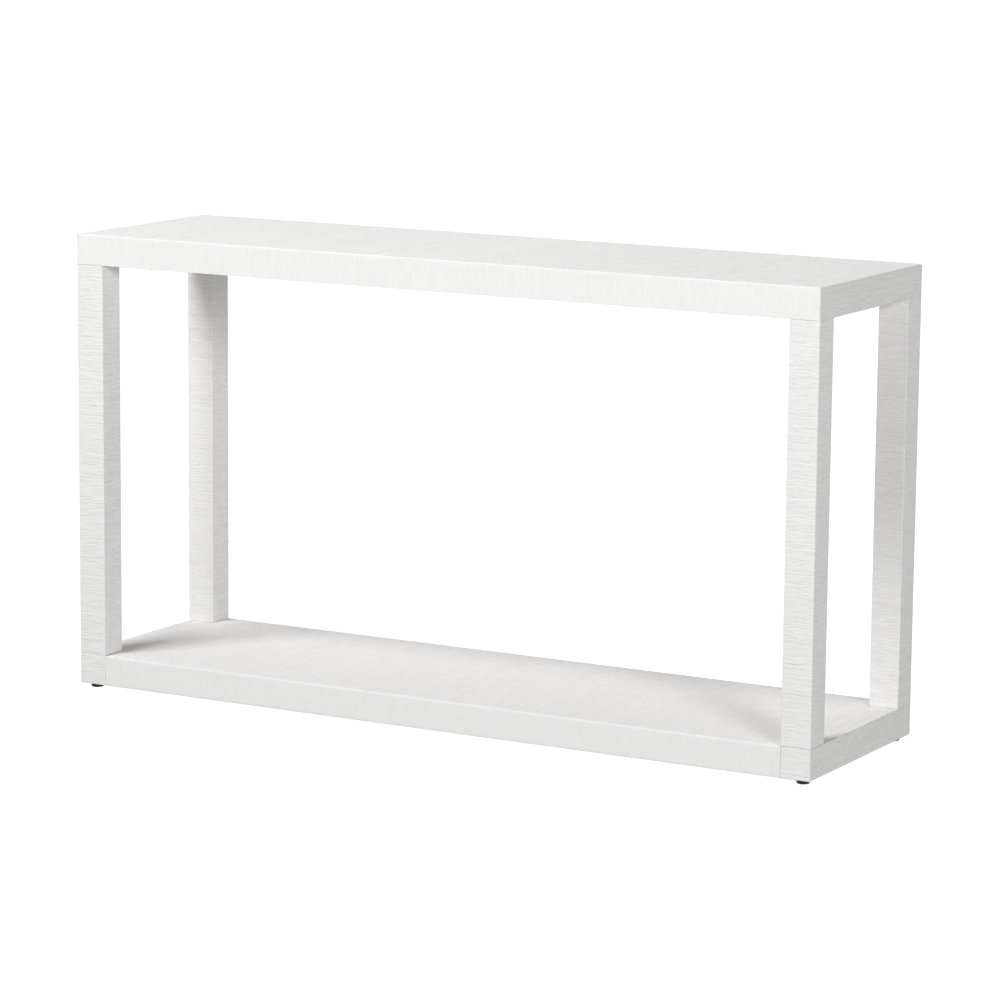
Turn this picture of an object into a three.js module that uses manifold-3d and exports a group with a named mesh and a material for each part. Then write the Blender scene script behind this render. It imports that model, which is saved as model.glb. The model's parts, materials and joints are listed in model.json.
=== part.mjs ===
// A console table: a long box top and a low box shelf of the same plan, held apart by four square legs
// flush with their corners. Every face is covered in white lacquered grasscloth, and the shelf stands on
// four black screw-in glides.
//
// Each slab is a hollow-core box: a thick upper board, a frame of rails, ribs and corner blocks, and a thin
// liner below. Coverings are thin shells outside those cores.
// Millimetres, +Z up, +X along the length, -Y is the front. The origin is on the floor, under the middle.
import * as THREE from "three";
import { mergeVertices } from "three/addons/utils/BufferGeometryUtils.js";
import Module from "manifold-3d";

const wasm = await Module();
wasm.setup();

// ---- Driving dimensions ----
const WIDTH = 1524; // 60 in
const DEPTH = 427;
const HEIGHT = 864; // 34 in
const SLAB = 57; // thickness of the top and of the shelf
const LEG = 57; // side of a covered leg
const LIFT = 9; // clear height under the shelf, which is what the glides stand out

const SKIN = 1.2; // grasscloth with its lacquer
const GAP = 0.3; // between pieces that touch
const PANEL = 12; // upper board of a slab
const LINER = 4; // board that closes a slab below
const RAIL = 20; // thickness of a rail
const RIB = 18; // thickness of a cross rib
const RIB_AT = WIDTH / 6; // distance of each rib from the middle
const LIP = 21.5; // how far a covering turns in under its slab

const TENON = { thick: 10, tall: 16, long: 12 };
const BOLT = { radius: 4, head: 5.3, headRadius: 7.5, washer: 1.6, washerRadius: 8, long: 96, recess: 10 };
const DOWEL = { radius: 5, long: 48, inBlock: 8 };
const INSERT = { radius: 5.5, long: 23, flange: 1.5, flangeRadius: 8 };
const GLIDE = { radius: 12, foot: 8.7, edge: 2.6, rim: 0.8, socket: 4.7, stemRadius: 4, stemLong: 32 };

// Distances inwards from a corner's two outer faces
const TOP_BOLT_AT = LEG / 2;
const SHELF_BOLT_AT = 44;
const GLIDE_AT = 23;
const DOWEL_AT = [42, 15];

// ---- Worked-out dimensions ----
const INSET = SKIN + GAP; // from a covered face to the core behind it
const CORE = LEG - 2 * INSET; // side of a bare leg or corner block
const SHELF_LOW = LIFT;
const SHELF_HIGH = LIFT + SLAB;
const TOP_LOW = HEIGHT - SLAB;
const SPARE = 3; // how much deeper a blind hole is than what goes in it
const PAST = 1; // how far a cutting shape runs past the face it cuts
const HARDWARE_SIDES = 16; // flats round a bolt, dowel, insert or stem, and round its hole
const FOOT_SIDES = 24;

// Heights of the layers of a slab whose covered underside is at low
const layers = (low) => ({
  low,
  high: low + SLAB,
  liner: [low + INSET, low + INSET + LINER],
  frame: [low + INSET + LINER + GAP, low + SLAB - INSET - PANEL - GAP],
  panel: [low + SLAB - INSET - PANEL, low + SLAB - INSET],
});
const SHELF = layers(SHELF_LOW);
const TOP = layers(TOP_LOW);

// ---- Materials ----
function finish(color, roughness, metalness = 0) {
  return new THREE.MeshStandardMaterial({ color, roughness, metalness });
}
const MATERIALS = {
  grasscloth: finish(0xeeedeb, 0.55),
  fibreboard: finish(0xb79a75, 0.85),
  poplar: finish(0xd2bd92, 0.7),
  painted_board: finish(0xe9e8e4, 0.6),
  beech: finish(0xcfa877, 0.65),
  zinc_steel: finish(0xb9bcc0, 0.35, 1),
  black_nylon: finish(0x121212, 0.45),
};

// ---- Solids ----
// A closed geometry as a solid that can be joined and cut
function solid(geometry) {
  const bare = geometry.clone();
  bare.deleteAttribute("normal");
  bare.deleteAttribute("uv");
  const merged = mergeVertices(bare, 1e-4);
  return new wasm.Manifold(
    new wasm.Mesh({
      numProp: 3,
      vertProperties: new Float32Array(merged.attributes.position.array),
      triVerts: new Uint32Array(merged.index.array),
    }),
  );
}

// A solid back as a geometry with flat-shaded normals
function geometryOf(made) {
  const { vertProperties, triVerts, numProp } = made.getMesh();
  const count = vertProperties.length / numProp;
  const positions = new Float32Array(count * 3);
  for (let i = 0; i < count; i++) positions.set(vertProperties.subarray(i * numProp, i * numProp + 3), i * 3);
  const geometry = new THREE.BufferGeometry();
  geometry.setAttribute("position", new THREE.BufferAttribute(positions, 3));
  geometry.setIndex(new THREE.BufferAttribute(new Uint32Array(triVerts), 1));
  const flat = geometry.toNonIndexed();
  flat.computeVertexNormals();
  return flat;
}

function box([x0, x1], [y0, y1], [z0, z1]) {
  const geometry = new THREE.BoxGeometry(x1 - x0, y1 - y0, z1 - z0);
  return geometry.translate((x0 + x1) / 2, (y0 + y1) / 2, (z0 + z1) / 2);
}
const block = (x, y, z) => solid(box(x, y, z));

// An upright round rod at (x, y)
function rod(x, y, [z0, z1], radius, sides = HARDWARE_SIDES) {
  const geometry = new THREE.CylinderGeometry(radius, radius, z1 - z0, sides);
  return solid(geometry.rotateX(Math.PI / 2).translate(x, y, (z0 + z1) / 2));
}

const cut = (from, ...tools) => tools.reduce((left, tool) => left.subtract(tool), from);
const join = (first, ...others) => others.reduce((sum, other) => sum.add(other), first);
const about = (half) => [-half, half];

function piece(name, material, made) {
  const geometry = made.isBufferGeometry ? made : geometryOf(made);
  const mesh = new THREE.Mesh(geometry, MATERIALS[material]);
  mesh.name = name;
  return mesh;
}

// ---- Corners ----
// Each corner is the front right one turned a quarter turn further. In a corner's own frame the two outer
// faces meet at the origin, and the leg stands at x from -LEG to 0 and y from 0 to LEG.
const CORNERS = [
  { name: "front_right", x: 1, y: -1, turn: 0 },
  { name: "back_right", x: 1, y: 1, turn: Math.PI / 2 },
  { name: "back_left", x: -1, y: 1, turn: Math.PI },
  { name: "front_left", x: -1, y: -1, turn: (3 * Math.PI) / 2 },
];

// The place in the table's frame of a point u and v inwards from a corner's outer faces
function atCorner(corner, u, v) {
  const point = new THREE.Vector3(-u, v, 0).applyAxisAngle(new THREE.Vector3(0, 0, 1), corner.turn);
  return [(corner.x * WIDTH) / 2 + point.x, (corner.y * DEPTH) / 2 + point.y];
}

// One upright rod at the same place in every corner, for cutting the boards
function rodsAt(u, v, z, radius) {
  return CORNERS.map((corner) => rod(...atCorner(corner, u, v), z, radius));
}

// The square hole that clears something of the given size in each corner, from near to far inwards
function squaresAt(near, far, z) {
  return CORNERS.map((corner) => {
    const [x0, y0] = atCorner(corner, near, near);
    const [x1, y1] = atCorner(corner, far, far);
    return block([Math.min(x0, x1), Math.max(x0, x1)], [Math.min(y0, y1), Math.max(y0, y1)], z);
  });
}

// ---- Slab cores ----
const BOARD = [about(WIDTH / 2 - INSET), about(DEPTH / 2 - INSET)];

function boards(slab, name, holes) {
  const panel = cut(block(...BOARD, slab.panel), ...holes.panel);
  const liner = cut(block(...BOARD, slab.liner), ...holes.liner);
  return [
    piece(`${name}_panel`, "fibreboard", panel),
    piece(`${name}_underside_board`, "painted_board", liner),
  ];
}

// A rail along X with a stub tenon at both ends, its outer face at y = 0 and its middle at x = 0
function rail(between, [z0, z1]) {
  const half = between / 2 - GAP;
  const middle = (z0 + z1) / 2;
  const tenon = block(
    about(half + TENON.long),
    [(RAIL - TENON.thick) / 2, (RAIL + TENON.thick) / 2],
    [middle - TENON.tall / 2, middle + TENON.tall / 2],
  );
  return join(block(about(half), [0, RAIL], [z0, z1]), tenon);
}

function rails(slab, name) {
  const inner = INSET + CORE;
  const sides = [
    { side: "front", between: WIDTH - 2 * inner, x: 0, y: -DEPTH / 2 + INSET, turn: 0 },
    { side: "right", between: DEPTH - 2 * inner, x: WIDTH / 2 - INSET, y: 0, turn: Math.PI / 2 },
    { side: "back", between: WIDTH - 2 * inner, x: 0, y: DEPTH / 2 - INSET, turn: Math.PI },
    { side: "left", between: DEPTH - 2 * inner, x: -WIDTH / 2 + INSET, y: 0, turn: -Math.PI / 2 },
  ];
  return sides.map(({ side, between, x, y, turn }) => {
    const mesh = piece(`${name}_${side}_rail`, "poplar", rail(between, slab.frame));
    mesh.position.set(x, y, 0);
    mesh.rotation.z = turn;
    return mesh;
  });
}

function ribs(slab, name) {
  const half = DEPTH / 2 - INSET - RAIL - GAP;
  return [-1, 1].map((side) => {
    const label = side < 0 ? "left" : "right";
    const mesh = piece(`${name}_${label}_rib`, "poplar", box(about(RIB / 2), about(half), slab.frame));
    mesh.position.x = side * RIB_AT;
    return mesh;
  });
}

// A corner block in its corner's own frame, with a mortise for each of the two rails that meet it
function cornerBlock([z0, z1]) {
  const inner = INSET + CORE;
  const deep = inner - TENON.long - GAP;
  const near = INSET + (RAIL - TENON.thick) / 2 - GAP;
  const far = near + TENON.thick + 2 * GAP;
  const middle = (z0 + z1) / 2;
  const tall = [middle - TENON.tall / 2 - GAP, middle + TENON.tall / 2 + GAP];
  const beyond = inner + PAST;
  return cut(
    block([-inner, -INSET], [INSET, inner], [z0, z1]),
    block([-beyond, -deep], [near, far], tall),
    block([-far, -near], [deep, beyond], tall),
  );
}

// ---- Bolts, dowels and glides, in a corner's own frame ----
// A bolt whose washer bears at z = seat; up is 1 if its shank points up and -1 if it points down
function bolt(u, v, seat, up) {
  const span = (a, b) => [Math.min(seat + up * a, seat + up * b), Math.max(seat + up * a, seat + up * b)];
  return join(
    rod(-u, v, span(-BOLT.washer / 2, BOLT.long), BOLT.radius),
    rod(-u, v, span(-BOLT.washer, 0), BOLT.washerRadius),
    rod(-u, v, span(-BOLT.washer - BOLT.head, -BOLT.washer / 2), BOLT.headRadius, 6),
  );
}

// The foot of a glide: a round pad with a rounded lower edge and a socket for the stem
function glideFoot() {
  const { radius, foot, edge, rim, socket, stemRadius } = GLIDE;
  const bore = stemRadius + GAP;
  const rounded = Array.from({ length: 6 }, (_, i) => {
    const angle = (i / 5) * (Math.PI / 2);
    return [radius - edge + edge * Math.sin(angle), edge - edge * Math.cos(angle)];
  });
  const outline = [
    [0, 0],
    ...rounded,
    [radius, foot - rim],
    [radius - rim, foot],
    [bore, foot],
    [bore, foot - socket],
    [0, foot - socket],
  ];
  const points = outline.map(([r, z]) => new THREE.Vector2(r, z));
  return solid(new THREE.LatheGeometry(points, FOOT_SIDES).rotateX(Math.PI / 2));
}

// Heights that the holes and the hardware share
const TOP_BOLT_SEAT = TOP.frame[1] - BOLT.recess;
const SHELF_BOLT_SEAT = SHELF.frame[0] + BOLT.recess;
const DOWEL_Z = [SHELF.frame[1] - DOWEL.inBlock, SHELF.frame[1] - DOWEL.inBlock + DOWEL.long];
const INSERT_Z = [SHELF.frame[0] - GAP - INSERT.flange, SHELF.frame[0] - GAP + INSERT.long];
const STEM_Z = [GLIDE.foot - GLIDE.socket + GAP, GLIDE.foot - GLIDE.socket + GAP + GLIDE.stemLong];
const LEG_Z = [SHELF.panel[1] + GAP, TOP.liner[0] - GAP];
const BOLT_HOLE = BOLT.radius + GAP;
const HEAD_HOLE = BOLT.washerRadius + 2 * GAP;
const DOWEL_HOLE = DOWEL.radius + GAP;
const BELOW = -PAST;

function legCore() {
  const side = [INSET, INSET + CORE];
  return cut(
    block([-side[1], -side[0]], side, LEG_Z),
    rod(-TOP_BOLT_AT, TOP_BOLT_AT, [TOP_BOLT_SEAT - BOLT.long - SPARE, HEIGHT], BOLT_HOLE),
    rod(-SHELF_BOLT_AT, SHELF_BOLT_AT, [BELOW, SHELF_BOLT_SEAT + BOLT.long + SPARE], BOLT_HOLE),
    rod(-DOWEL_AT[0], DOWEL_AT[1], [BELOW, DOWEL_Z[1] + GAP], DOWEL_HOLE),
  );
}

// The covering of a leg: a square sleeve between the two slabs
function legSleeve() {
  const z = [SHELF_HIGH + GAP, TOP_LOW - GAP];
  const inner = [SKIN, LEG - SKIN];
  return cut(
    block([-LEG, 0], [0, LEG], z),
    block([-inner[1], -inner[0]], inner, [z[0] - PAST, z[1] + PAST]),
  );
}

function topBlock() {
  return cut(
    cornerBlock(TOP.frame),
    rod(-TOP_BOLT_AT, TOP_BOLT_AT, [TOP.frame[0] - PAST, HEIGHT], BOLT_HOLE),
    rod(-TOP_BOLT_AT, TOP_BOLT_AT, [TOP_BOLT_SEAT - GAP, HEIGHT], HEAD_HOLE),
  );
}

function shelfBlock() {
  return cut(
    cornerBlock(SHELF.frame),
    rod(-SHELF_BOLT_AT, SHELF_BOLT_AT, [BELOW, SHELF_HIGH], BOLT_HOLE),
    rod(-SHELF_BOLT_AT, SHELF_BOLT_AT, [BELOW, SHELF_BOLT_SEAT + GAP], HEAD_HOLE),
    rod(-GLIDE_AT, GLIDE_AT, [BELOW, INSERT_Z[1] + SPARE], INSERT.radius + GAP),
    rod(-DOWEL_AT[0], DOWEL_AT[1], [DOWEL_Z[0] - GAP, SHELF_HIGH], DOWEL_HOLE),
  );
}

function glideInsert() {
  const [low, high] = INSERT_Z;
  const bore = rod(-GLIDE_AT, GLIDE_AT, [low - PAST, high + PAST], GLIDE.stemRadius + GAP);
  return cut(
    join(
      rod(-GLIDE_AT, GLIDE_AT, [low, high], INSERT.radius),
      rod(-GLIDE_AT, GLIDE_AT, [low, low + INSERT.flange], INSERT.flangeRadius),
    ),
    bore,
  );
}

function cornerAssembly(corner) {
  const topBolt = bolt(TOP_BOLT_AT, TOP_BOLT_AT, TOP_BOLT_SEAT, -1);
  const shelfBolt = bolt(SHELF_BOLT_AT, SHELF_BOLT_AT, SHELF_BOLT_SEAT, 1);
  const group = new THREE.Group();
  group.position.set((corner.x * WIDTH) / 2, (corner.y * DEPTH) / 2, 0);
  group.rotation.z = corner.turn;
  const foot = piece(`glide_foot_${corner.name}`, "black_nylon", glideFoot());
  foot.position.set(-GLIDE_AT, GLIDE_AT, 0);
  group.add(
    piece(`top_corner_block_${corner.name}`, "poplar", topBlock()),
    piece(`top_leg_bolt_${corner.name}`, "zinc_steel", topBolt),
    piece(`leg_core_${corner.name}`, "poplar", legCore()),
    piece(`leg_covering_${corner.name}`, "grasscloth", legSleeve()),
    piece(`shelf_corner_block_${corner.name}`, "poplar", shelfBlock()),
    piece(`shelf_leg_bolt_${corner.name}`, "zinc_steel", shelfBolt),
    piece(`shelf_dowel_${corner.name}`, "beech", rod(-DOWEL_AT[0], DOWEL_AT[1], DOWEL_Z, DOWEL.radius)),
    piece(`glide_insert_${corner.name}`, "zinc_steel", glideInsert()),
    piece(`glide_stem_${corner.name}`, "zinc_steel", rod(-GLIDE_AT, GLIDE_AT, STEM_Z, GLIDE.stemRadius)),
    foot,
  );
  return group;
}

// ---- Coverings of the slabs ----
// The top's covering is one sheet: over the board, down all four edges and in underneath, with a window
// for each leg
function topCovering() {
  const { low, high } = TOP;
  return cut(
    block(about(WIDTH / 2), about(DEPTH / 2), [low, high]),
    block(about(WIDTH / 2 - SKIN), about(DEPTH / 2 - SKIN), [low + SKIN, high - SKIN]),
    block(about(WIDTH / 2 - LIP), about(DEPTH / 2 - LIP), [low - PAST, low + SKIN + PAST]),
    ...squaresAt(SKIN, LEG + GAP, [low - PAST, low + SKIN + GAP]),
  );
}

// The shelf's main covering goes over the board and down its front and back between the corners
function shelfCovering() {
  const short = WIDTH / 2 - LEG - GAP;
  const { low, high } = SHELF;
  const wrapped = cut(
    block(about(short), about(DEPTH / 2), [low, high]),
    block(about(WIDTH), about(DEPTH / 2 - SKIN), [low + SKIN, high - SKIN]),
    block(about(WIDTH), about(DEPTH / 2 - LIP), [low - PAST, low + SKIN + PAST]),
  );
  const ends = block(about(WIDTH / 2 - INSET), about(DEPTH / 2 - LEG - GAP), [high - SKIN, high]);
  return join(wrapped, ends);
}

// A band covers one end of the shelf and turns both corners, as far as the inner side of each leg. side is
// 1 for the right end and -1 for the left.
function shelfEndBand(side) {
  const { low, high } = SHELF;
  const from = WIDTH / 2 - LEG;
  const span = (a, b) => (side > 0 ? [a, b] : [-b, -a]);
  const lipCut = [low - PAST, low + SKIN + PAST];
  const core = [low + SKIN, high + PAST];
  const inside = block(span(from - PAST, WIDTH / 2 - SKIN), about(DEPTH / 2 - SKIN), core);
  const below = block(span(from - PAST, WIDTH / 2 - LIP), about(DEPTH / 2 - LIP), lipCut);
  const hardware = rodsAt(GLIDE_AT, GLIDE_AT, lipCut, INSERT.flangeRadius + GAP);
  return cut(block(span(from, WIDTH / 2), about(DEPTH / 2), [low, high]), inside, below, ...hardware);
}

// ---- The table ----
const table = new THREE.Group();
table.add(
  piece("top_covering", "grasscloth", topCovering()),
  ...boards(TOP, "top", {
    panel: [],
    liner: rodsAt(TOP_BOLT_AT, TOP_BOLT_AT, [TOP_LOW, HEIGHT], BOLT_HOLE),
  }),
  ...rails(TOP, "top"),
  ...ribs(TOP, "top"),
  piece("shelf_covering", "grasscloth", shelfCovering()),
  piece("shelf_end_band_right", "grasscloth", shelfEndBand(1)),
  piece("shelf_end_band_left", "grasscloth", shelfEndBand(-1)),
  ...boards(SHELF, "shelf", {
    panel: [
      ...rodsAt(SHELF_BOLT_AT, SHELF_BOLT_AT, [BELOW, SHELF_HIGH], BOLT_HOLE),
      ...rodsAt(...DOWEL_AT, [BELOW, SHELF_HIGH], DOWEL_HOLE),
    ],
    liner: [
      ...rodsAt(SHELF_BOLT_AT, SHELF_BOLT_AT, [BELOW, SHELF_HIGH], HEAD_HOLE),
      ...rodsAt(GLIDE_AT, GLIDE_AT, [BELOW, SHELF_HIGH], INSERT.flangeRadius + GAP),
    ],
  }),
  ...rails(SHELF, "shelf"),
  ...ribs(SHELF, "shelf"),
  ...CORNERS.map(cornerAssembly),
);

export default table;
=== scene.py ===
# The looks of the console table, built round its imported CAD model.
# Metres, +Z up, in the CAD model's own frame: +X along the length, -Y is the front.
import json
import math

import bmesh
import bpy
import numpy as np
from mathutils import Matrix, Vector


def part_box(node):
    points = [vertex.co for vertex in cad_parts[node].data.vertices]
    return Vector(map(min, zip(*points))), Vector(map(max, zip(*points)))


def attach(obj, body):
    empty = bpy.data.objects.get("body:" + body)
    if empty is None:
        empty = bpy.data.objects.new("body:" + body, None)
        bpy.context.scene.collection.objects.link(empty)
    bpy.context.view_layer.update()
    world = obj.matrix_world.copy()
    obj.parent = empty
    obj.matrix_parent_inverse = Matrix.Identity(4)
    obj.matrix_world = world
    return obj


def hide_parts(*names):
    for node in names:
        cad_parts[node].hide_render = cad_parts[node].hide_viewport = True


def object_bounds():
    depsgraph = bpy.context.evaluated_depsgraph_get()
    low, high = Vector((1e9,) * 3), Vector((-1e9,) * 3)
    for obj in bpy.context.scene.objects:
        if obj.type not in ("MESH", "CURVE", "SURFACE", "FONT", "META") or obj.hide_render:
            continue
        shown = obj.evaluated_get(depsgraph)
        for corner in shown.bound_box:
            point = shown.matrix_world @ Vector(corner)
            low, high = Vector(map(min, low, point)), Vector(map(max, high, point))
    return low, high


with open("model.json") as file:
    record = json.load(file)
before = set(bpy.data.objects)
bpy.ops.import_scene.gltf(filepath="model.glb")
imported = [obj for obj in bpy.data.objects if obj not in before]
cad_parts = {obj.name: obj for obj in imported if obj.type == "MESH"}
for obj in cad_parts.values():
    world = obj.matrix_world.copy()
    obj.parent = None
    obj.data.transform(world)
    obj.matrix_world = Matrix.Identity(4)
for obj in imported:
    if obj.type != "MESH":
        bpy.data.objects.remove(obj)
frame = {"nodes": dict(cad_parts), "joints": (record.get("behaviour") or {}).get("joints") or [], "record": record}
CAD_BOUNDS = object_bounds()

MM = 0.001
CORNERS = ("front_right", "back_right", "back_left", "front_left")

# ---- Sizes of the grasscloth's relief ----
STRAND = 4.5 * MM  # mean width of a strand
GROOVE = 0.42 * MM  # depth of the grooves between strands
INSIDE = 0.03 * MM  # how far the highest strand stays inside the CAD face
EDGE = 1.6 * MM  # radius of an edge that the strands are wrapped over
TIGHT_EDGE = 0.7 * MM  # the same where a leg meets the top
LEG_GAP = 0.3 * MM  # between the CAD model's leg coverings and its slabs, closed here
FINE_STEP = 5.5 * MM  # between two points along a strand, on a leg or a slab's edge
LONG_STEP = 14 * MM  # the same across the top and the shelf
HIDDEN_STEPS = 3  # across a side that nothing shows of
CORNER_STEPS = 3  # faces round an edge
PROUD = 1 * MM  # how far a cutting hull stands clear of a face that it leaves alone

LEG_RELIEF = 1.3  # how much deeper the grooves are on the legs
BAND_RELIEF = 1.1  # the same on the shelf's end bands
SLAB_RELIEF = (0, 0.5, 1, 0.5)  # how deep they are under a slab, on its back, over it and on its front
CORNER_RELIEF = 0.6  # how deep they are round an edge, as a share of the shallower side beside it
# How deep a groove has to be for the full shadow colour
LEG_SHADE = 0.55 * MM
BAND_SHADE = 0.42 * MM
TOP_SHADE = 0.31 * MM
SHELF_SHADE = 0.40 * MM
# How deep each leg's covering is pressed in round its foot and its head
FOOT_HEMS = {"front_right": 0.85 * MM, "back_right": 0, "back_left": 0, "front_left": 0.6 * MM}
HEAD_HEM = 0.08 * MM
# How deep a line is pressed into the shelf at its left seam, at its right one and beside both
LEFT_SEAM = 0.4 * MM
RIGHT_SEAM = 0.5 * MM
HEM_LINE = 0.25 * MM

# ---- Shapes of the strands ----
# A strand's section: how far across it each ring lies, and its height there
STRAND_SECTION = ((0.0, 0.0), (0.25, 0.78), (0.5, 1.0), (0.75, 0.78))
WIDTHS = (0.55, 1.45)  # the narrowest and the widest strand, as shares of the mean width
THICKNESSES = (0.7, 1.0)  # the flattest and the fullest strand, as shares of the groove's depth
WANDER = 0.45  # how far an edge wanders, as a share of the narrower strand beside it
SWELL = 0.14  # how much a strand's height varies along it
CLOSED_MEAN, CLOSED_MOST = 0.4, 0.85  # how far the grooves close between two strands
# The waves that neighbouring strands follow together
SHARED_WAVES = 12
WAVE_SPREAD = (25 * MM, 120 * MM)  # their shortest and longest reach across the strands
SHORTEST_WAVE = 90 * MM  # along the strands


# ---- Places ----
def corners_of(node):
    """The lowest and highest corners of a CAD node, as two arrays."""
    low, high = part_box(node)
    return np.array(low), np.array(high)


TABLE_LOW, TABLE_HIGH = corners_of("top_covering")
SHELF_LOW, SHELF_HIGH = corners_of("shelf_covering")
LEG_SIDE = np.ptp(np.array(corners_of("leg_covering_front_right"))[:, 0])


# ---- Strands of grasscloth as relief ----
class Loop:
    """A rounded rectangle that strands run round, in the plane of two axes.

    The sides follow each other anticlockwise: 0 faces down the second axis, 1 up the first, 2 up the
    second and 3 down the first. relief scales a side's grooves, proud pushes its flat outwards and
    hem says whether its ends are pressed in. radii gives the corner after each side.
    """

    def __init__(
        self, low, high, steps,
        relief=(1, 1, 1, 1), proud=(0, 0, 0, 0), hem=(1, 1, 1, 1), radii=(EDGE, EDGE, EDGE, EDGE),
    ):
        middle = (low + high) / 2
        reach = (high - low) / 2
        rows = []
        for side in range(4):
            after = (side + 1) % 4
            turn = side * math.pi / 2
            forward = np.array([math.cos(turn), math.sin(turn)])
            outward = np.array([forward[1], -forward[0]])
            half = reach[side % 2]
            away = reach[1 - side % 2]
            radius = radii[side]
            flats = np.linspace(radii[side - 1] - half, half - radius, steps[side] + 1)
            for k, place in enumerate(flats):
                bulge = proud[side] if 0 < k < steps[side] else 0
                point = middle + forward * place + outward * away
                rows.append((point, outward, relief[side], bulge, hem[side]))
            centre = middle + forward * (half - radius) + outward * (away - radius)
            for k in range(1, CORNER_STEPS):
                angle = k / CORNER_STEPS * math.pi / 2
                normal = outward * math.cos(angle) + forward * math.sin(angle)
                grooves = CORNER_RELIEF * min(relief[side], relief[after])
                pressed = (hem[side] + hem[after]) / 2
                rows.append((centre + normal * radius, normal, grooves, 0, pressed))
        self.points, self.normals, self.relief, self.proud, self.hem = map(np.array, zip(*rows))
        gaps = np.linalg.norm(np.roll(self.points, -1, axis=0) - self.points, axis=1)
        self.length = gaps.sum()
        self.distance = np.cumsum(gaps) - gaps


def smooth_noise(rng, count, loop, longest=250 * MM, shortest=32 * MM):
    """count smooth random curves round a loop, each about -1 to 1, one row each."""
    first = max(1, math.ceil(loop.length / longest))
    last = max(first + 2, math.floor(loop.length / shortest))
    waves = np.arange(first, last + 1)
    size = rng.normal(size=(count, len(waves))) / np.sqrt(waves)
    phase = rng.uniform(0, 2 * math.pi, (count, len(waves)))
    angle = 2 * math.pi * waves[:, None] * loop.distance[None, :] / loop.length
    curves = np.einsum("kn,knp->kp", size, np.cos(angle[None] + phase[:, :, None]))
    return np.tanh(curves / curves.std())


def shared_wave(rng, places, loop, swing=0.7 * MM):
    """A gentle wave that neighbouring strands follow together."""
    total = np.zeros((len(places), len(loop.distance)))
    for _ in range(SHARED_WAVES):
        turns = rng.integers(1, max(2, int(loop.length / SHORTEST_WAVE)) + 1)
        spread = rng.uniform(*WAVE_SPREAD)
        phase = rng.uniform(0, 2 * math.pi)
        angle = 2 * math.pi * (turns * loop.distance[None, :] / loop.length + places[:, None] / spread)
        total += np.cos(angle + phase) / SHARED_WAVES**0.5
    return swing * total


def strand_edges(rng, stations):
    """Where strands begin and end between stations, each a place along the hull and a depth there.

    Returns the places, the depths, which edges may wander, and which are followed by a strand.
    """
    places, depths, loose, strand = [], [], [], []
    for (start, start_depth), (end, end_depth) in zip(stations, stations[1:]):
        count = round((end - start) / STRAND)
        if count < 1:
            places.append(start)
            depths.append(start_depth)
            loose.append(False)
            strand.append(False)
            continue
        widths = rng.uniform(*WIDTHS, count)
        shares = np.concatenate(([0], np.cumsum(widths)[:-1])) / widths.sum()
        for k, share in enumerate(shares):
            places.append(start + share * (end - start))
            depths.append(start_depth + share * (end_depth - start_depth))
            loose.append(k > 0)
            strand.append(True)
    places.append(stations[-1][0])
    depths.append(stations[-1][1])
    loose.append(False)
    return np.array(places), np.array(depths), np.array(loose), np.array(strand)


def strand_hull(name, axis, loop, stations, seed):
    """A closed solid along an axis, 0 or 2, whose sides are strands laid round the loop.

    The groove between two strands closes and opens again along them.
    """
    rng = np.random.default_rng(seed)
    places, depths, loose, strand = strand_edges(rng, stations)
    widths = np.diff(places)
    room = np.minimum(np.append(widths, widths[-1]), np.insert(widths, 0, widths[0]))
    wander = WANDER * room[:, None] * smooth_noise(rng, len(places), loop, shortest=20 * MM)
    edges = places[:, None] + loose[:, None] * (wander + shared_wave(rng, places, loop))
    swell = 1 - SWELL + SWELL * smooth_noise(rng, len(strand), loop)
    thickness = rng.uniform(*THICKNESSES, len(strand))[:, None]
    ties = smooth_noise(rng, len(strand), loop, shortest=14 * MM)
    closed = np.clip(CLOSED_MEAN + ties, 0, CLOSED_MOST)

    along, sunk = [], []
    for k, is_strand in enumerate(strand):
        width = edges[k + 1] - edges[k]
        fullness = np.clip(width / STRAND, 0.1, 1.0) ** 0.5  # narrow strands are flatter
        for across, height in STRAND_SECTION if is_strand else STRAND_SECTION[:1]:
            pressed = depths[k] + across * (depths[k + 1] - depths[k])
            shape = height if across else closed[k]
            raised = np.clip(shape * swell[k] * thickness[k] * fullness, 0, 1)
            along.append(edges[k] + across * width)
            sunk.append(pressed * loop.hem + GROOVE * loop.relief * (1 - raised))
    along.append(edges[-1])
    sunk.append(depths[-1] * loop.hem + GROOVE * loop.relief)
    along = np.array(along)
    sunk = np.array(sunk) + INSIDE - loop.proud

    rings, around = along.shape
    flat = loop.points[None] - loop.normals[None] * sunk[:, :, None]
    order = [2, 0, 1] if axis == 0 else [0, 1, 2]
    sides = np.concatenate((flat, along[:, :, None]), axis=2).reshape(-1, 3)
    middle = loop.points.mean(axis=0)
    ends = np.array([[*middle, along[0].mean()], [*middle, along[-1].mean()]])
    verts = np.concatenate((sides, ends))[:, order]
    ring = np.arange(around)
    after = (ring + 1) % around
    base = np.arange(rings - 1)[:, None] * around
    quads = np.stack((base + ring, base + after, base + around + after, base + around + ring), axis=2)
    first_fan = [(rings * around, b, a) for a, b in zip(ring, after)]
    top = (rings - 1) * around
    last_fan = [(rings * around + 1, top + a, top + b) for a, b in zip(ring, after)]
    mesh = bpy.data.meshes.new(name)
    mesh.from_pydata(verts.tolist(), [], quads.reshape(-1, 4).tolist() + first_fan + last_fan)
    return link(bpy.data.objects.new(name, mesh))


def rim(end, inwards, radius):
    """Stations that round a hull's end; inwards is 1 at its start and -1 at its finish."""
    angles = np.linspace(0, math.pi / 2, 5)
    places = [(end + inwards * radius * (1 - math.sin(a)), radius * (1 - math.cos(a))) for a in angles]
    return places[::-1] if inwards > 0 else places


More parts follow.
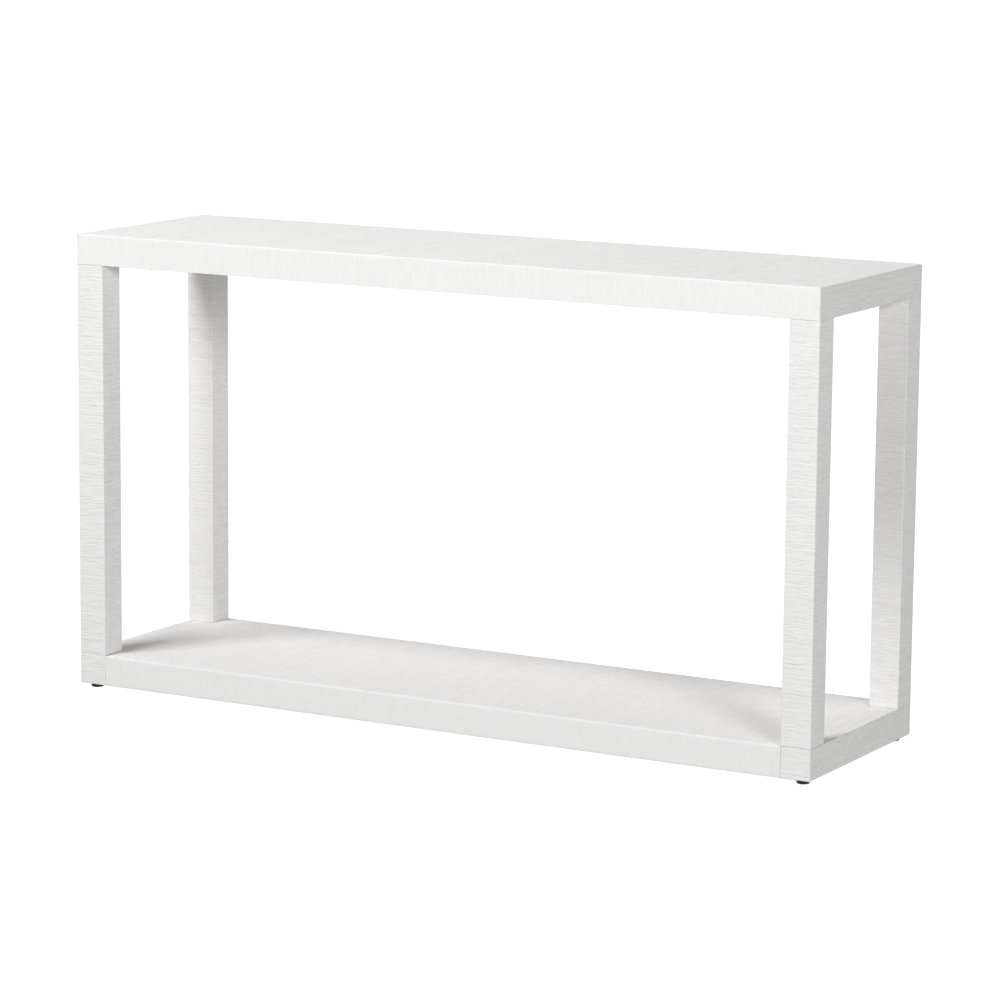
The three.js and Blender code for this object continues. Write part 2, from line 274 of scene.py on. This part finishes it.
def hem(end, inwards, pressed, length=1.5 * MM):
    """Stations that press a hull in towards its end."""
    places = [(end + inwards * length, 0), (end, pressed)]
    return places[::-1] if inwards > 0 else places


def pressed_line(place, pressed, half=0.8 * MM):
    """Stations that press a narrow line into a hull."""
    return [(place - half, 0), (place, pressed), (place + half, 0)]


# ---- Meshes ----
def link(thing):
    bpy.context.scene.collection.objects.link(thing)
    return thing


def cad_solid(node, longer=0.0):
    """A copy of a CAD node's mesh with its corners joined up, for cutting with.

    longer is added to it above and below.
    """
    mesh = frame["nodes"][node].data.copy()
    same_place = 0.001 * MM
    made = bmesh.new()
    made.from_mesh(mesh)
    bmesh.ops.remove_doubles(made, verts=made.verts, dist=same_place)
    middle = sum(vert.co.z for vert in made.verts) / len(made.verts)
    for vert in made.verts:
        vert.co.z += math.copysign(longer, vert.co.z - middle)
    made.to_mesh(mesh)
    made.free()
    mesh.materials.clear()
    return link(bpy.data.objects.new("cutter", mesh))


def keep_common(piece, *others):
    """Leaves of a piece only what lies inside all of the others, which are used up."""
    for other in others:
        cut = piece.modifiers.new("common", "BOOLEAN")
        cut.operation = "INTERSECT"
        cut.solver = "MANIFOLD"
        cut.object = other
    evaluated = piece.evaluated_get(bpy.context.evaluated_depsgraph_get())
    mesh = bpy.data.meshes.new_from_object(evaluated)
    piece.modifiers.clear()
    piece.data = mesh
    for other in others:
        bpy.data.objects.remove(other)
    return piece


def shade(mesh, sharp_degrees):
    mesh.shade_smooth()
    mesh.set_sharp_from_angle(angle=math.radians(sharp_degrees))


def unrolled(points, normals, low, high, axis):
    """Each point as its distance across and along the strands, in metres, unrolled over the edges."""
    first, second = (1, 2) if axis == 0 else (0, 1)
    a, b = points[:, first] - low[first], points[:, second] - low[second]
    wide, tall = high[first] - low[first], high[second] - low[second]
    sides = (a, wide + b, wide + tall + wide - a, 2 * wide + 2 * tall - b)
    facing = np.stack((-normals[:, second], normals[:, first], normals[:, second], -normals[:, first]))
    along = np.choose(facing.argmax(axis=0), sides)
    across = points[:, axis].copy()
    is_end = np.abs(normals[:, axis]) > facing.max(axis=0)
    if axis == 0:
        across[is_end] += np.sign(normals[is_end, 0]) * (high[2] - points[is_end, 2])
        along[is_end] = sides[2][is_end]
    return across, along


def depth_below(points, low, high, first, second):
    """How far each point lies below the rounded faces that are parallel to the third axis."""
    middle, half = (low + high) / 2, (high - low) / 2
    beyond = np.stack([np.abs(points[:, k] - middle[k]) - half[k] + EDGE for k in (first, second)])
    outside = np.linalg.norm(np.maximum(beyond, 0), axis=0)
    return EDGE - outside - np.minimum(beyond.max(axis=0), 0)


def add_grain(piece, low, high, axis, shift, shade_depth):
    """Gives a covering its grain map and its groove attribute, which its material reads.

    The attribute is 0 on the highest strands and 1 from shade_depth downwards. shift, in metres,
    gives each covering its own part of the grain.
    """
    mesh = piece.data
    points = np.empty(len(mesh.vertices) * 3, np.float32)
    mesh.vertices.foreach_get("co", points)
    points = points.reshape(-1, 3).astype(float)
    corner_vertex = np.empty(len(mesh.loops), np.int32)
    mesh.loops.foreach_get("vertex_index", corner_vertex)
    face_normals = np.empty(len(mesh.polygons) * 3, np.float32)
    mesh.polygons.foreach_get("normal", face_normals)
    sizes = np.empty(len(mesh.polygons), np.int32)
    mesh.polygons.foreach_get("loop_total", sizes)
    normals = np.repeat(face_normals.reshape(-1, 3), sizes, axis=0)
    across, along = unrolled(points[corner_vertex], normals, low, high, axis)
    grain = mesh.uv_layers.new(name="grain")
    grain.data.foreach_set("uv", np.stack((across + shift, along), axis=1).ravel().astype(np.float32))

    first, second = (1, 2) if axis == 0 else (0, 1)
    depth = depth_below(points, low, high, first, second)
    if axis == 0:
        depth = np.minimum(depth, depth_below(points, low, high, 0, 1))
    groove = mesh.attributes.new("groove", "FLOAT", "POINT")
    groove.data.foreach_set("value", np.clip((depth - INSIDE) / shade_depth, 0, 1).astype(np.float32))


def steps_for(length, step=FINE_STEP):
    return max(1, round(length / step))


def slab_steps(depth, height):
    """Steps round a slab: its hidden underside, its back, its upper face and its front."""
    return [HIDDEN_STEPS, steps_for(height), steps_for(depth, LONG_STEP), steps_for(height)]


# ---- Coverings ----
def finish_covering(piece, node, low, high, axis, shift, shade_depth):
    add_grain(piece, low, high, axis, shift, shade_depth)
    shade(piece.data, sharp_degrees=50)
    piece.data.materials.clear()
    piece.data.materials.append(MATERIALS["grasscloth"])
    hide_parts(node)
    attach(piece, "table")


def top_covering():
    """Strands over the top and down its front and back, and across its ends."""
    low, high = TABLE_LOW, TABLE_HIGH
    width, depth, height = high - low
    loop = Loop(
        low[1:], high[1:], slab_steps(depth, height), relief=SLAB_RELIEF, hem=(0, 1, 1, 1),
        radii=(TIGHT_EDGE, EDGE, EDGE, TIGHT_EDGE),
    )
    end_edge = 1.8 * MM
    stations = rim(low[0], 1, end_edge) + rim(high[0], -1, end_edge)
    piece = strand_hull("top_grasscloth", 0, loop, stations, seed=11)
    ends = Loop(
        low[:2], high[:2], [HIDDEN_STEPS, steps_for(depth), HIDDEN_STEPS, steps_for(depth)],
        relief=(0, 1, 0, 1), proud=(PROUD, 0, PROUD, 0),
    )
    stations = [(low[2] - PROUD, 0), (low[2] + EDGE, 0), (high[2] - EDGE, 0), (high[2] + PROUD, 0)]
    ends = strand_hull("top_ends", 2, ends, stations, seed=12)
    keep_common(piece, ends, cad_solid("top_covering"))
    finish_covering(piece, "top_covering", low, high, 0, shift=0, shade_depth=TOP_SHADE)


def shelf_covering():
    """Strands over the shelf and down its front and back, hemmed where the end bands begin."""
    low, high = SHELF_LOW, SHELF_HIGH
    depth, height = (high - low)[1:]
    seam = TABLE_HIGH[0] - LEG_SIDE
    hem_width = 6 * MM
    loop = Loop(
        low[1:], high[1:], slab_steps(depth, height), relief=SLAB_RELIEF, hem=(1, 1, 0, 1)
    )
    stations = [
        (TABLE_LOW[0], 0),
        *pressed_line(-seam, LEFT_SEAM),
        *pressed_line(hem_width - seam, HEM_LINE),
        *pressed_line(seam - hem_width, HEM_LINE),
        *pressed_line(seam, RIGHT_SEAM),
        (TABLE_HIGH[0], 0),
    ]
    piece = strand_hull("shelf_grasscloth", 0, loop, stations, seed=21)
    keep_common(piece, cad_solid("shelf_covering"))
    finish_covering(piece, "shelf_covering", low, high, 0, shift=2, shade_depth=SHELF_SHADE)


def shelf_end_band(side, seed):
    """Strands round one end of the shelf and both of its corners."""
    node = f"shelf_end_band_{side}"
    low, high = corners_of(node)
    depth = high[1] - low[1]
    spare = 30 * MM  # of the hull, inwards of where the band ends
    if side == "right":
        low[0] -= spare
    else:
        high[0] += spare
    corner, end = steps_for(high[0] - low[0]), steps_for(depth)
    steps = [corner, end, corner, HIDDEN_STEPS] if side == "right" else [corner, HIDDEN_STEPS, corner, end]
    loop = Loop(low[:2], high[:2], steps, relief=[BAND_RELIEF] * 4)
    lower_edge, upper_edge = 1 * MM, 0.7 * MM
    stations = rim(low[2] + INSIDE, 1, lower_edge) + rim(high[2] - INSIDE, -1, upper_edge)
    piece = strand_hull(f"shelf_end_grasscloth_{side}", 2, loop, stations, seed)
    keep_common(piece, cad_solid(node))
    finish_covering(piece, node, low, high, 2, shift=4 + seed, shade_depth=BAND_SHADE)


def leg_covering(corner, seed):
    """Strands wrapped round one leg, from the grooves of the shelf to the top."""
    node = f"leg_covering_{corner}"
    low, high = corners_of(node)
    loop = Loop(low[:2], high[:2], [steps_for(LEG_SIDE)] * 4, relief=[LEG_RELIEF] * 4)
    foot, head = low[2] - LEG_GAP - GROOVE, high[2] + LEG_GAP - INSIDE
    stations = hem(foot, 1, FOOT_HEMS[corner]) + hem(head, -1, HEAD_HEM)
    piece = strand_hull(f"leg_grasscloth_{corner}", 2, loop, stations, seed)
    keep_common(piece, cad_solid(node, longer=LEG_GAP + GROOVE))
    finish_covering(piece, node, low, high, 2, shift=seed, shade_depth=LEG_SHADE)


# ---- Glides ----
def lathe(name, centre, outline, segments=64):
    """A closed round solid from an outline of radius and height, both ends on the axis."""
    made = bmesh.new()
    angles = [2 * math.pi * k / segments for k in range(segments)]
    rows = []
    for radius, z in outline:
        if radius == 0:
            rows.append([made.verts.new((centre[0], centre[1], z))] * segments)
        else:
            rows.append([
                made.verts.new((centre[0] + radius * math.cos(a), centre[1] + radius * math.sin(a), z))
                for a in angles
            ])
    for lower, upper in zip(rows, rows[1:]):
        for k in range(segments):
            after = (k + 1) % segments
            ring = [lower[k], lower[after], upper[after], upper[k]]
            made.faces.new(list(dict.fromkeys(ring)))
    mesh = bpy.data.meshes.new(name)
    made.to_mesh(mesh)
    made.free()
    return link(bpy.data.objects.new(name, mesh))


def arc(centre, radius, start, end, steps=6):
    """Points of an arc in the plane of radius and height; angles are in degrees from outwards."""
    angles = np.radians(np.linspace(start, end, steps + 1))
    return [(centre[0] + radius * math.cos(a), centre[1] + radius * math.sin(a)) for a in angles]


def glide_foot(corner):
    """A moulded foot: a round pad with a soft lower edge, a waist under its rim and a stem socket."""
    node = f"glide_foot_{corner}"
    low, high = corners_of(node)
    centre, radius = (low + high) / 2, (high[0] - low[0]) / 2
    edge, collar = 2.6 * MM, 0.8 * MM  # radii round the underside and round the rim
    dish, dish_radius, pad_radius = 0.35 * MM, radius * 0.55, radius * 0.62  # the underside's hollow
    waist, waist_height = 0.15 * MM, 1.2 * MM  # how deep it is, and how high above the lower edge
    socket, lead_in, socket_floor = 4.3 * MM, 0.5 * MM, high[2] - 4.7 * MM  # for the stem
    outline = [
        (0, low[2] + dish),
        (dish_radius, low[2] + dish),
        (pad_radius, low[2]),
        *arc((radius - edge, low[2] + edge), edge, -90, 0),
        (radius - waist, low[2] + edge + waist_height),
        *arc((radius - collar, high[2] - collar), collar, 0, 90),
        (socket + lead_in, high[2]),
        (socket, high[2] - lead_in),
        (socket, socket_floor),
        (0, socket_floor),
    ]
    piece = lathe(f"moulded_glide_foot_{corner}", centre, outline)
    shade(piece.data, sharp_degrees=35)
    piece.data.materials.append(MATERIALS["black_nylon"])
    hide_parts(node)
    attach(piece, f"foot_{corner}")


def threaded_rod(name, centre, low, high, radius, pitch=1.25 * MM, segments=32, per_turn=8):
    """An upright rod with a rounded right-hand thread and tapered ends."""
    deep = 0.6 * pitch
    lead = 1.2 * MM  # over which each end tapers to a little below the thread's root
    rows = int(round((high - low) / pitch * per_turn))
    z = np.linspace(low, high, rows + 1)
    angle = 2 * math.pi * np.arange(segments) / segments
    turn = (z[:, None] - low) / pitch - angle[None, :] / (2 * math.pi)
    groove = (0.5 + 0.5 * np.cos(2 * math.pi * turn)) ** 1.5  # narrower than the crest
    from_end = np.minimum(z - low, high - z)[:, None]
    taper = np.clip(1 - from_end / lead, 0, 1) * deep * 1.2
    r = np.minimum(radius - deep * groove, radius - taper)
    x, y = centre[0] + r * np.cos(angle), centre[1] + r * np.sin(angle)
    verts = np.stack((x, y, np.broadcast_to(z[:, None], x.shape)), axis=2).reshape(-1, 3)
    k = np.arange(segments)
    after = (k + 1) % segments
    base = np.arange(rows)[:, None] * segments
    quads = np.stack((base + k, base + after, base + segments + after, base + segments + k), axis=2)
    caps = [k[::-1].tolist(), (rows * segments + k).tolist()]
    mesh = bpy.data.meshes.new(name)
    mesh.from_pydata(verts.tolist(), [], quads.reshape(-1, 4).tolist() + caps)
    return link(bpy.data.objects.new(name, mesh))


def glide_stem(corner):
    node = f"glide_stem_{corner}"
    low, high = corners_of(node)
    centre, radius = (low + high) / 2, (high[0] - low[0]) / 2
    piece = threaded_rod(f"threaded_glide_stem_{corner}", centre, low[2], high[2], radius)
    shade(piece.data, sharp_degrees=50)
    piece.data.materials.append(MATERIALS["zinc_steel"])
    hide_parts(node)
    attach(piece, f"stem_{corner}")


# ---- Materials ----
class Nodes:
    """A material's node tree, with short ways to add and join nodes."""

    def __init__(self, name, **shader):
        self.material = bpy.data.materials.new(name)
        self.material.use_nodes = True
        self.tree = self.material.node_tree
        self.shader = self.tree.nodes["Principled BSDF"]
        for socket, value in shader.items():
            self.shader.inputs[socket.replace("_", " ")].default_value = value

    def add(self, kind, inputs=None, **settings):
        node = self.tree.nodes.new(kind)
        for key, value in settings.items():
            setattr(node, key, value)
        for socket, value in (inputs or {}).items():
            self.join(value, node.inputs[socket])
        return node

    def join(self, value, socket):
        if isinstance(value, bpy.types.NodeSocket):
            self.tree.links.new(value, socket)
        else:
            socket.default_value = value

    def scaled(self, vector, scale):
        return self.add("ShaderNodeMapping", {"Vector": vector, "Scale": scale}).outputs["Vector"]

    def noise(self, vector, scale, detail=3.0, roughness=0.55):
        spread = {"Vector": self.scaled(vector, scale), "Scale": 1.0}
        node = self.add("ShaderNodeTexNoise", {**spread, "Detail": detail, "Roughness": roughness})
        return node.outputs["Fac"]

    def ramp(self, value, low, high, to_low=0.0, to_high=1.0):
        inputs = {"Value": value, "From Min": low, "From Max": high, "To Min": to_low, "To Max": to_high}
        return self.add("ShaderNodeMapRange", inputs).outputs["Result"]

    def mix(self, factor, first, second):
        node = self.add("ShaderNodeMix", data_type="RGBA")
        self.join(factor, node.inputs[0])
        self.join(first, node.inputs[6])
        self.join(second, node.inputs[7])
        return node.outputs[2]

    def maths(self, operation, first, second):
        node = self.add("ShaderNodeMath", operation=operation)
        self.join(first, node.inputs[0])
        self.join(second, node.inputs[1])
        return node.outputs[0]

    def bump(self, height, distance, normal=None):
        inputs = {"Height": height, "Distance": distance, "Strength": 1.0}
        if normal:
            inputs["Normal"] = normal
        return self.add("ShaderNodeBump", inputs).outputs["Normal"]

    def finish(self, colour=None, roughness=None, normal=None):
        for socket, value in (("Base Color", colour), ("Roughness", roughness), ("Normal", normal)):
            if value:
                self.join(value, self.shader.inputs[socket])
        return self.material


def scale_for(*sizes):
    """The mapping scale at which noise features are about these sizes, in metres."""
    return tuple(1 / size for size in sizes)


def grasscloth():
    """White lacquer over woven strands: painted shade in the grooves, broken into dashes, and fine fibres along
    them.
    """
    n = Nodes("grasscloth", IOR=1.45, Specular_IOR_Level=0.06)
    grain = n.add("ShaderNodeUVMap", uv_map="grain").outputs["UV"]
    groove = n.add("ShaderNodeAttribute", attribute_name="groove").outputs["Fac"]
    strands = n.noise(grain, scale_for(3.2 * MM, 18 * MM, 1), detail=2)
    mottle = n.noise(grain, scale_for(22 * MM, 55 * MM, 1), detail=3)
    breaks = n.noise(grain, scale_for(4 * MM, 11 * MM, 1), detail=2)
    fibres = n.noise(grain, scale_for(0.45 * MM, 9 * MM, 1), detail=3, roughness=0.7)
    slubs = n.noise(grain, scale_for(1.6 * MM, 16 * MM, 1), detail=2)
    white = (0.845, 0.845, 0.843, 1)
    cream = (0.757, 0.753, 0.746, 1)
    shadow = (0.655, 0.642, 0.622, 1)
    colour = n.mix(n.ramp(strands, 0.38, 0.72, 0, 0.25), white, cream)
    colour = n.mix(n.ramp(mottle, 0.35, 0.75, 0, 0.25), colour, cream)
    # Painted shade: the deeper a groove lies, the more it takes the shadow colour, broken into dashes along the
    # strands
    shade = n.maths("MULTIPLY", n.ramp(groove, 0.3, 1.1, 0, 0.75), n.ramp(breaks, 0.35, 0.62, 0.35, 1))
    colour = n.mix(shade, colour, shadow)
    roughness = n.ramp(n.maths("ADD", slubs, groove), 0.3, 1.6, 0.56, 0.72)
    normal = n.bump(fibres, 0.10 * MM)
    normal = n.bump(slubs, 0.18 * MM, normal)
    return n.finish(colour, roughness, normal)


def board(name, light, dark, flecks):
    """Pressed board: fine flecks and a faint larger mottle."""
    n = Nodes(name)
    place = n.add("ShaderNodeTexCoord").outputs["Object"]
    fleck = n.noise(place, scale_for(0.9 * MM, 0.9 * MM, 0.9 * MM), detail=2)
    mottle = n.noise(place, scale_for(35 * MM, 35 * MM, 35 * MM))
    colour = n.mix(n.ramp(fleck, 0.4, 0.7, 0, flecks), light, dark)
    colour = n.mix(n.ramp(mottle, 0.3, 0.75, 0, 0.3), colour, dark)
    normal = n.bump(fleck, 0.05 * MM)
    return n.finish(colour, n.ramp(fleck, 0.3, 0.7, 0.7, 0.9), normal)


def wood(name, light, dark, along, ring):
    """Wood with its grain along one axis: growth rings, streaks and pores."""
    n = Nodes(name)
    place = n.add("ShaderNodeTexCoord").outputs["Object"]
    wave_rate = 20  # by which Blender's wave texture multiplies its scale
    stretched = [1.0, 1.0, 1.0]
    stretched[along] = 0.06
    rings = n.add(
        "ShaderNodeTexWave",
        {
            "Vector": n.scaled(place, tuple(stretched)),
            "Scale": 1 / (wave_rate * ring),
            "Distortion": 5.0,
            "Detail": 3.0,
            "Detail Scale": 1.5,
        },
        wave_type="RINGS",
        rings_direction="XYZ"[along],
    ).outputs["Fac"]
    sizes = [0.7 * MM] * 3
    sizes[along] = 14 * MM
    pores = n.noise(place, scale_for(*sizes), detail=3, roughness=0.65)
    colour = n.mix(n.ramp(rings, 0.1, 0.9, 0, 0.6), light, dark)
    colour = n.mix(n.ramp(pores, 0.5, 0.75, 0, 0.5), colour, dark)
    normal = n.bump(pores, 0.08 * MM)
    return n.finish(colour, n.ramp(pores, 0.3, 0.7, 0.6, 0.8), normal)


def zinc_steel():
    """Bright zinc plate: crystals in slightly different greys, and fine scratches."""
    n = Nodes("zinc_steel", Metallic=1.0)
    place = n.add("ShaderNodeTexCoord").outputs["Object"]
    crystals = n.add(
        "ShaderNodeTexVoronoi", {"Vector": place, "Scale": 1 / (1.1 * MM)}
    ).outputs["Color"]
    spangle = n.add("ShaderNodeSeparateColor", {"Color": crystals}).outputs[0]
    scratches = n.noise(place, scale_for(0.25 * MM, 0.25 * MM, 3 * MM), detail=2)
    colour = n.mix(spangle, (0.50, 0.53, 0.57, 1), (0.62, 0.64, 0.66, 1))
    roughness = n.ramp(n.maths("ADD", spangle, scratches), 0.2, 1.6, 0.26, 0.48)
    return n.finish(colour, roughness, n.bump(scratches, 0.02 * MM))


def black_nylon():
    """Moulded nylon: near black, with a fine spark-eroded texture and pale scuffs."""
    n = Nodes("black_nylon", IOR=1.53)
    place = n.add("ShaderNodeTexCoord").outputs["Object"]
    texture = n.noise(place, scale_for(0.35 * MM, 0.35 * MM, 0.35 * MM), detail=2)
    scuffs = n.noise(place, scale_for(3 * MM, 3 * MM, 1 * MM), detail=5, roughness=0.7)
    colour = n.mix(n.ramp(scuffs, 0.55, 0.8, 0, 0.5), (0.010, 0.010, 0.011, 1), (0.045, 0.043, 0.04, 1))
    roughness = n.ramp(scuffs, 0.3, 0.7, 0.38, 0.58)
    return n.finish(colour, roughness, n.bump(texture, 0.04 * MM))


POPLAR = ((0.67, 0.54, 0.33, 1), (0.50, 0.40, 0.22, 1))
MATERIALS = {
    "grasscloth": grasscloth(),
    "fibreboard": board("fibreboard", (0.50, 0.34, 0.20, 1), (0.33, 0.21, 0.12, 1), 0.6),
    "painted_board": board("painted_board", (0.72, 0.66, 0.58, 1), (0.62, 0.56, 0.48, 1), 0.3),
    "poplar_x": wood("poplar_x", *POPLAR, along=0, ring=6 * MM),
    "poplar_y": wood("poplar_y", *POPLAR, along=1, ring=6 * MM),
    "poplar_z": wood("poplar_z", *POPLAR, along=2, ring=6 * MM),
    "beech": wood("beech", (0.64, 0.41, 0.22, 1), (0.50, 0.29, 0.13, 1), along=2, ring=2 * MM),
    "zinc_steel": zinc_steel(),
    "black_nylon": black_nylon(),
}


def material_for(node, slot):
    """The material of a CAD node; the grain of poplar runs along its piece."""
    if slot != "poplar":
        return MATERIALS[slot]
    low, high = corners_of(node)
    return MATERIALS["poplar_" + "xyz"[int((high - low).argmax())]]


def dress_cad_nodes():
    for subpart in frame["record"]["subparts"]:
        node = subpart["node"]
        mesh = frame["nodes"][node].data
        mesh.materials.clear()
        mesh.materials.append(material_for(node, subpart["material_slot"]))


# ---- Stage ----
GLIDE_TRAVEL = max(joint["range_m"][1] for joint in frame["joints"] if joint["type"] == "slide")
PAPER_WHITE = 1.05  # how bright the floor and the background look: a little over full white


def floor():
    """A round white floor that shows no shadows, where the glides reach when they are screwed out."""
    mesh = bpy.data.meshes.new("floor")
    made = bmesh.new()
    bmesh.ops.create_circle(made, cap_ends=True, radius=60, segments=96)
    made.to_mesh(mesh)
    made.free()
    n = Nodes("floor", Roughness=0.9, Specular_IOR_Level=0.0)
    place = n.add("ShaderNodeTexCoord").outputs["Object"]
    paper = n.noise(place, scale_for(0.4, 0.4, 0.4))
    n.shader.inputs["Emission Color"].default_value = (1, 1, 1, 1)
    n.shader.inputs["Emission Strength"].default_value = PAPER_WHITE
    mesh.materials.append(n.finish(n.mix(paper, (0.13, 0.13, 0.13, 1), (0.12, 0.12, 0.12, 1))))
    piece = link(bpy.data.objects.new("floor", mesh))
    piece.location.z = CAD_BOUNDS[0].z - GLIDE_TRAVEL
    piece.visible_diffuse = False
    piece.visible_glossy = False


def softbox(name, azimuth, elevation, distance, size, power, target):
    """A square light; azimuth 0 is in front of the table and 90 to its right, in degrees."""
    light = bpy.data.lights.new(name, "AREA")
    light.shape = "SQUARE"
    light.size = size
    light.energy = power
    lamp = link(bpy.data.objects.new(name, light))
    a, e = math.radians(azimuth), math.radians(elevation)
    away = Vector((math.sin(a) * math.cos(e), -math.cos(a) * math.cos(e), math.sin(e)))
    lamp.location = target + away * distance
    lamp.rotation_euler = away.to_track_quat("Z", "Y").to_euler()
    lamp.visible_camera = False


def sky(above, below):
    """An even room light, with its own strength from above and from below the horizon."""
    world = bpy.data.worlds.new("studio")
    bpy.context.scene.world = world
    world.use_nodes = True
    tree = world.node_tree
    place = tree.nodes.new("ShaderNodeTexCoord")
    split = tree.nodes.new("ShaderNodeSeparateXYZ")
    room = tree.nodes.new("ShaderNodeMapRange")
    room.inputs["From Min"].default_value = -0.1
    room.inputs["From Max"].default_value = 0.1
    room.inputs["To Min"].default_value = below
    room.inputs["To Max"].default_value = above
    path = tree.nodes.new("ShaderNodeLightPath")
    strength = tree.nodes.new("ShaderNodeMix")
    strength.inputs["B"].default_value = PAPER_WHITE
    background = tree.nodes["Background"]
    background.inputs["Color"].default_value = (1, 1, 1, 1)
    tree.links.new(place.outputs["Generated"], split.inputs["Vector"])
    tree.links.new(split.outputs["Z"], room.inputs["Value"])
    tree.links.new(path.outputs["Is Camera Ray"], strength.inputs["Factor"])
    tree.links.new(room.outputs["Result"], strength.inputs["A"])
    tree.links.new(strength.outputs["Result"], background.inputs["Strength"])


def lights():
    """A broad key high on the left, a low fill on the right, and two weak ones from behind and the left."""
    middle = (CAD_BOUNDS[0] + CAD_BOUNDS[1]) / 2
    softbox("key", azimuth=-28, elevation=53, distance=6.5, size=2.1, power=321, target=middle)
    softbox("fill", azimuth=51, elevation=16, distance=9.0, size=2.2, power=385, target=middle)
    softbox("behind", azimuth=180, elevation=60, distance=3.4, size=2.0, power=30, target=middle)
    softbox("left", azimuth=-65, elevation=35, distance=4.0, size=2.0, power=10, target=middle)
    sky(above=0.05, below=0.62)


def camera():
    """The photograph's camera, solved from the table's edges: in front, to the right and a little above."""
    data = bpy.data.cameras.new("camera")
    data.sensor_width = 36
    data.lens = 145.58
    view = link(bpy.data.objects.new("camera", data))
    view.location = (3.5999, -6.3758, 1.6660)
    turn, tilt, roll = (math.radians(angle) for angle in (29.2622, 80.1889, 0.5273))
    facing = Matrix.Rotation(turn, 3, "Z") @ Matrix.Rotation(tilt, 3, "X") @ Matrix.Rotation(roll, 3, "Z")
    view.rotation_euler = facing.to_euler()
    bpy.context.scene.camera = view


# ---- The table ----
dress_cad_nodes()
top_covering()
shelf_covering()
shelf_end_band("right", seed=31)
shelf_end_band("left", seed=32)
for number, corner in enumerate(CORNERS):
    leg_covering(corner, seed=41 + number)
    glide_foot(corner)
    glide_stem(corner)
floor()
lights()
camera()
bpy.context.scene.view_settings.view_transform = "Standard"
